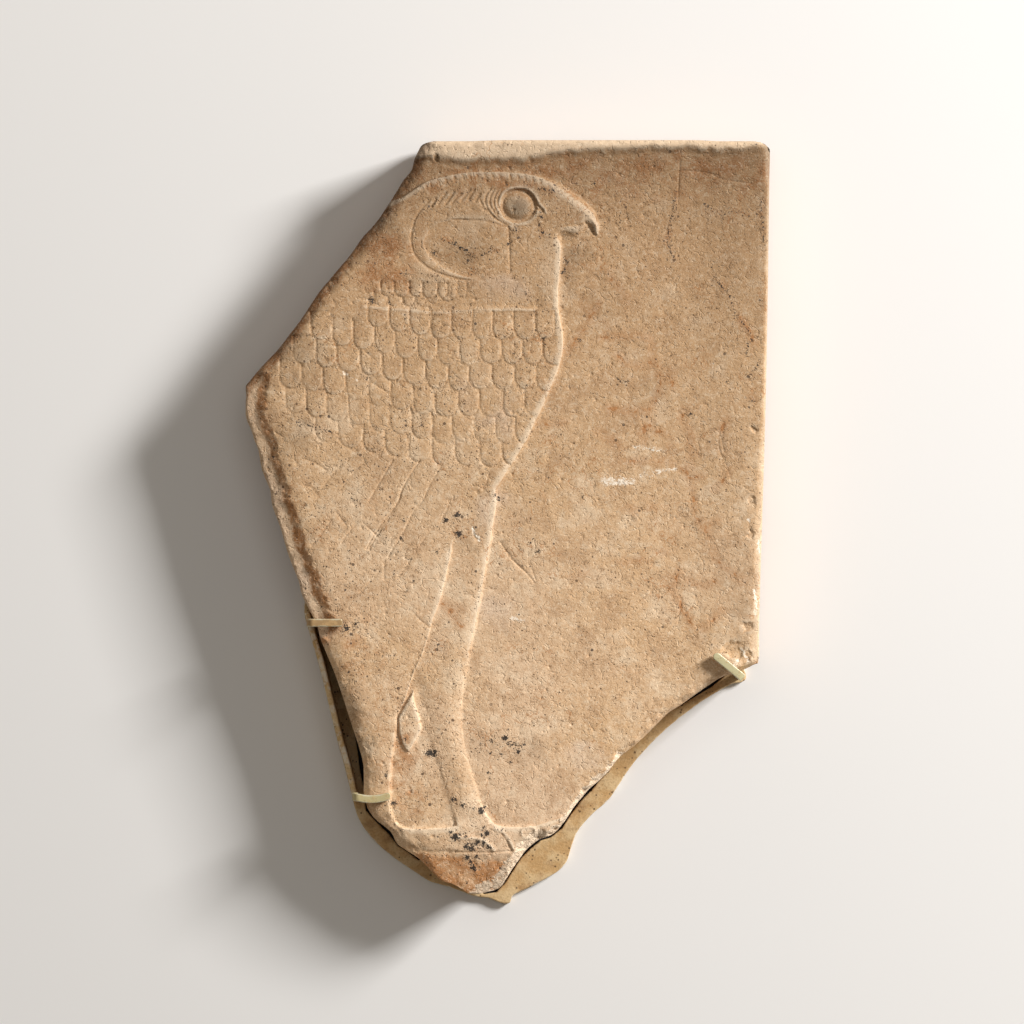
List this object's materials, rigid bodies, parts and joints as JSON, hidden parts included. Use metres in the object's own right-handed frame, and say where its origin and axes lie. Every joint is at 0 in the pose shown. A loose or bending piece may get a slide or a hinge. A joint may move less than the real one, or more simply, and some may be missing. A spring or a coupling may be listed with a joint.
{
  "type": "sculptors model fragment",
  "caption": "Broken limestone carver's model with a falcon in low relief and raised margins, lying on its back in a painted sheet-metal display cradle with bent claws.",
  "frame": {"origin": "middle of the bounding box, on the underside of the cradle's back plate, where the part lies on a surface", "axes": "+Z out of the carved face, +Y to the top of the slab, +X the way the bird faces"},
  "size_m": [0.1418, 0.2072, 0.0244],
  "materials": {
    "limestone": "matt, fine grained, stained and pitted",
    "cradle_paint": "matt ochre paint with dark specks",
    "claw_paint": "satin cream paint"
  },
  "bodies": {
    "root": {"limestone_relief": "limestone", "cradle_back_plate": "cradle_paint", "cradle_left_rail": "cradle_paint", "claw_upper_left": "claw_paint", "claw_lower_left": "claw_paint", "claw_right": "claw_paint"}
  },
  "joints": []
}
